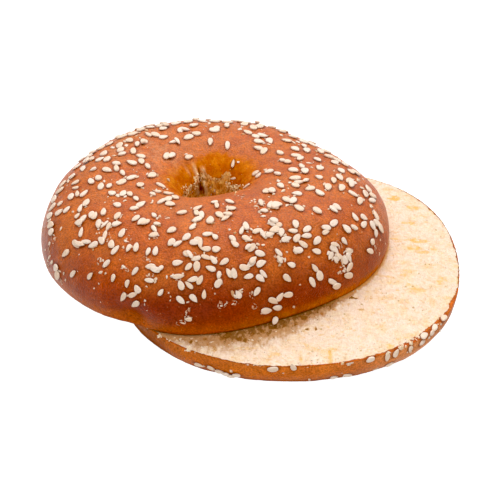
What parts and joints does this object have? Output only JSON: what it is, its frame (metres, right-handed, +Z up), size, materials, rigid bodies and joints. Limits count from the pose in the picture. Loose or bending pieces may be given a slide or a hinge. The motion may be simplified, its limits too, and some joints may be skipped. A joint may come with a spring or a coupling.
{
  "type": "sesame bagel",
  "caption": "Sesame bagel cut across the middle, the domed top half resting askew on the flat bottom half so that part of the pale cut face shows.",
  "frame": {"origin": "middle of the bounding box in X and Y, on the flat underside of the bottom half, which stands on Z = 0", "axes": "+Z up, out of the cut face and along the holes; +X to the right along the longest extent, the way in which the bottom half sticks out from under the top half; -Y towards the viewer"},
  "size_m": [0.131, 0.126, 0.0356],
  "materials": {
    "baked_crust": "baked bread crust, reddish brown, slightly glossy",
    "bread_crumb": "matt cream bread crumb",
    "sesame_seed": "hulled sesame seed, cream, faintly waxy"
  },
  "bodies": {
    "root": {"bottom_half": "bread_crumb", "top_half": "baked_crust"}
  },
  "joints": []
}
